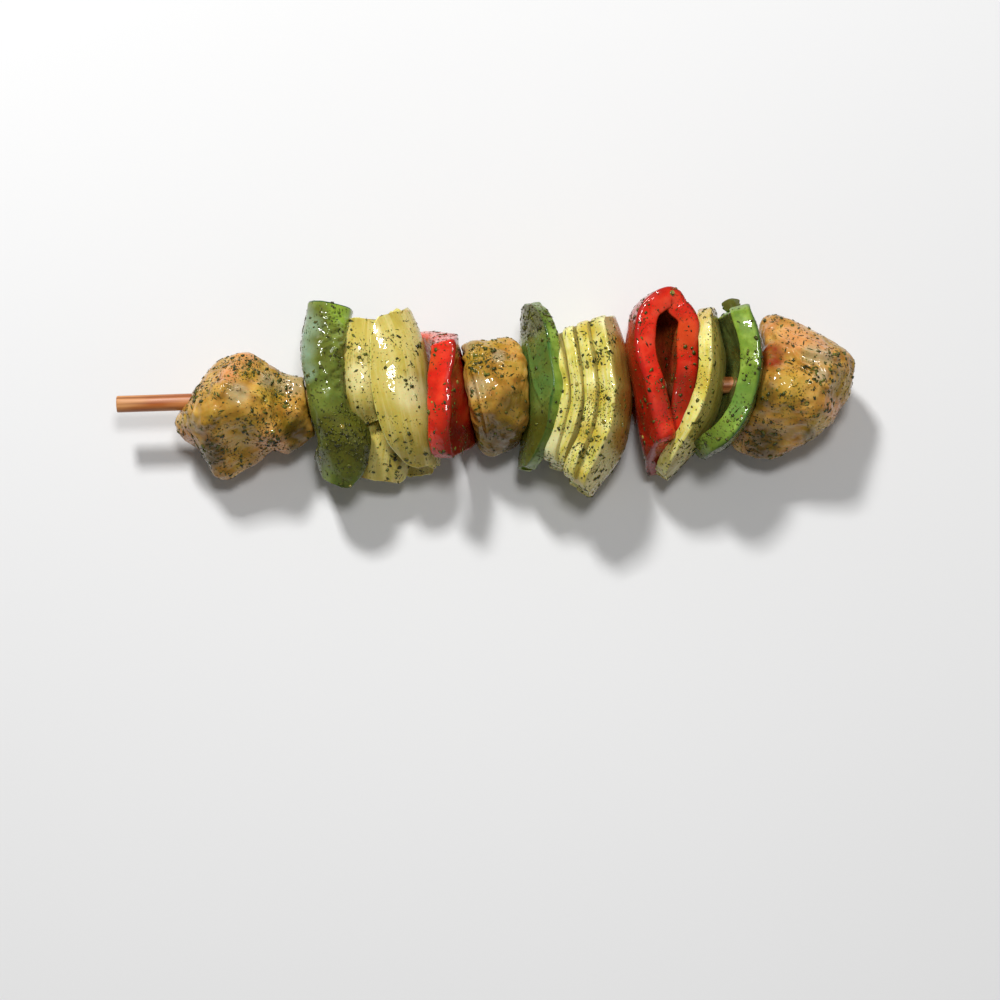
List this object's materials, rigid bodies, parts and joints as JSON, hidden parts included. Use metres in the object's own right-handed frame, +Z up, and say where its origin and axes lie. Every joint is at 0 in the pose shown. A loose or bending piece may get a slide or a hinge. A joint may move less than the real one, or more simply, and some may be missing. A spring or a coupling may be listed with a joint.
{
  "type": "chicken kebab skewer",
  "caption": "Raw marinated kebab: herb-flecked chunks of chicken, bell pepper and onion threaded on a round wooden stick, lying down.",
  "frame": {"origin": "under the middle of the kebab's box, on the surface it lies on", "axes": "+X along the stick from its bare end, +Y across it, +Z up from the surface it lies on"},
  "size_m": [0.2072, 0.056, 0.0348],
  "materials": {
    "wood": "plain turned stick, damp with marinade",
    "chicken": "raw chicken, wet with herb marinade",
    "green_pepper": "waxy skin and pale cut walls, oily",
    "red_pepper": "waxy skin and orange-red cut walls, oily",
    "onion": "translucent raw layers, stained yellow by oil"
  },
  "bodies": {
    "root": {"stick": "wood", "chicken_1": "chicken", "chicken_2": "chicken", "chicken_3": "chicken", "green_pepper_1": "green_pepper", "green_pepper_2": "green_pepper", "green_pepper_3": "green_pepper", "green_pepper_scrap": "green_pepper", "red_pepper_1": "red_pepper", "red_pepper_2": "red_pepper", "onion_1_left": "onion", "onion_1_right": "onion", "onion_1_lower": "onion", "onion_1_heart": "onion", "onion_2_inner": "onion", "onion_2_second": "onion", "onion_2_third": "onion", "onion_2_outer": "onion", "onion_3": "onion"}
  },
  "joints": []
}
